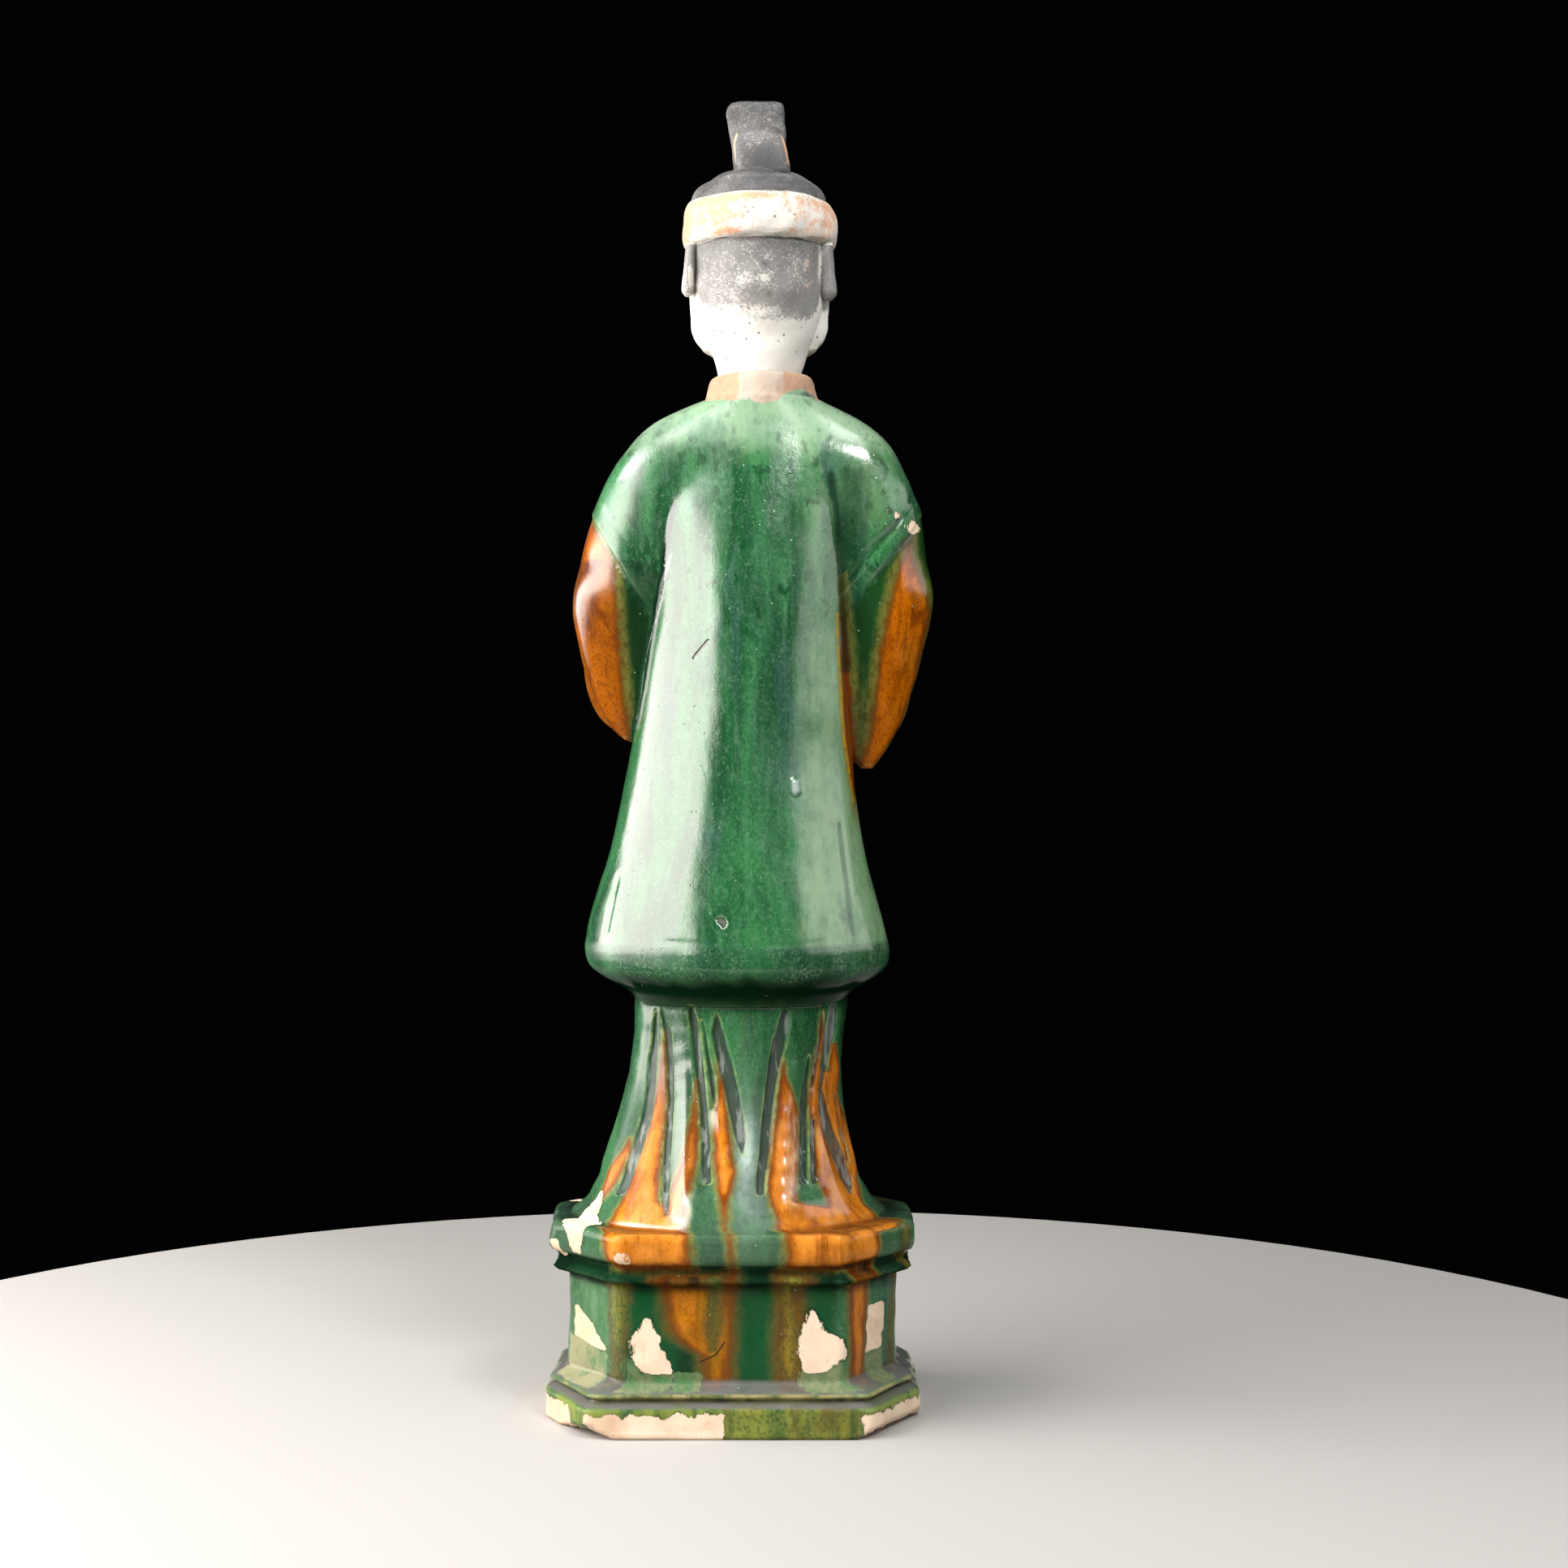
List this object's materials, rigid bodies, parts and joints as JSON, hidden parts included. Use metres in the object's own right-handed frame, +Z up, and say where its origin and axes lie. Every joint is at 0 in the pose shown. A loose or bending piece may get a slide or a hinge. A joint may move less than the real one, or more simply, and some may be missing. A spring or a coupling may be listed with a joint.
{
  "type": "glazed tomb attendant figure",
  "caption": "Standing robed attendant in green and amber glazed earthenware on a moulded plinth, with a cold-painted head made apart and set in its collar.",
  "frame": {"origin": "middle of the plinth's underside", "axes": "+Z up along the figure, -Y the way the figure faces, +X towards its own left hand"},
  "size_m": [0.1595, 0.116, 0.54],
  "materials": {
    "glazed_earthenware": "glossy green and amber lead glazes that run over buff earthenware, with bare clay at the collar and in patches of the plinth",
    "cold_paint": "matt white slip with black cold paint on hair and cap, worn and speckled"
  },
  "bodies": {
    "root": {"robed_body": "glazed_earthenware", "head": "cold_paint"}
  },
  "joints": []
}
